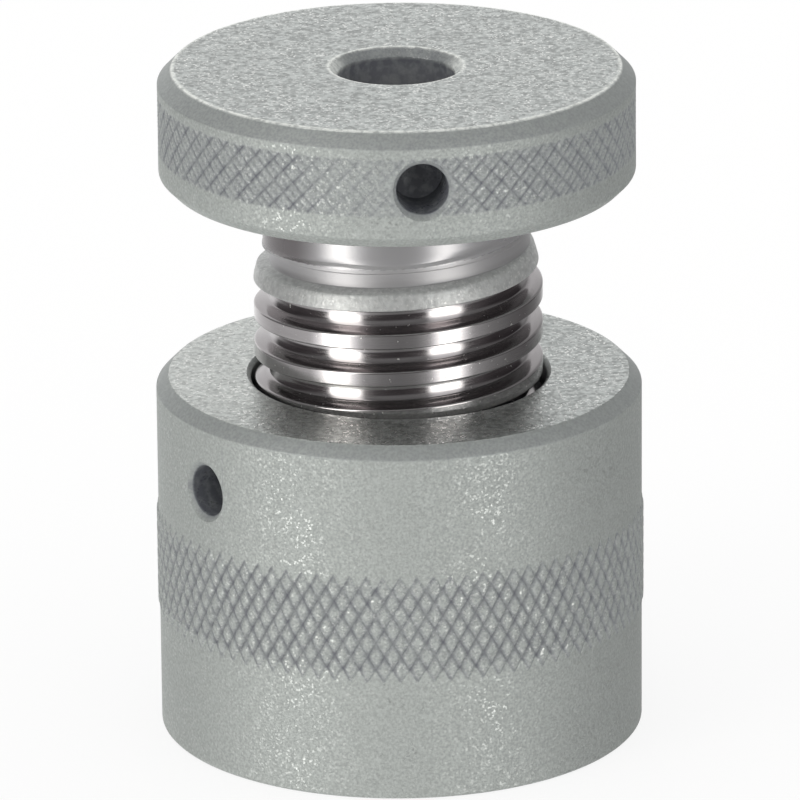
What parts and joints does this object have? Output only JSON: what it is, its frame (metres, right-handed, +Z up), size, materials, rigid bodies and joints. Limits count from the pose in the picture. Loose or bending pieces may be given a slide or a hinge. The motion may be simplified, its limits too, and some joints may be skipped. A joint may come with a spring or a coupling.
{
  "type": "screw support jack",
  "caption": "Height-adjustable screw support: knurled cylindrical base with a trapezoidal internal thread, and a one-piece spindle with a flat round knurled head.",
  "frame": {"origin": "centre of the flat resting face under the base", "axes": "+Z up along the screw axis, -Y towards the front, +X to the right of a viewer in front"},
  "size_m": [0.0502, 0.0502, 0.0704],
  "materials": {
    "blasted_steel": "bead-blasted matt steel with fine sparkle",
    "spindle_steel": "bead-blasted on the head and the first turn of thread, bright rolled steel on the rest of the thread",
    "washer_steel": "plain turned steel",
    "spring_steel": "dark phosphated spring steel"
  },
  "bodies": {
    "base": {"base_body": "blasted_steel"},
    "washer": {"stop_washer": "washer_steel"},
    "spindle": {"spindle": "spindle_steel", "retaining_ring": "spring_steel"}
  },
  "joints": [
    {"name": "spindle_lift", "type": "slide", "parent": "base", "child": "washer", "axis": [0, 0, 1], "range_m": [-0.0204, 0]},
    {"name": "spindle_turn", "type": "hinge", "parent": "washer", "child": "spindle", "pos_m": [0, 0, 0.0584], "axis": [0, 0, 1], "range_deg": [-1836, 0]}
  ],
  "couplings": [
    {"joint": "spindle_lift", "follows": "spindle_turn", "m_per_rad": 0.00063662}
  ]
}
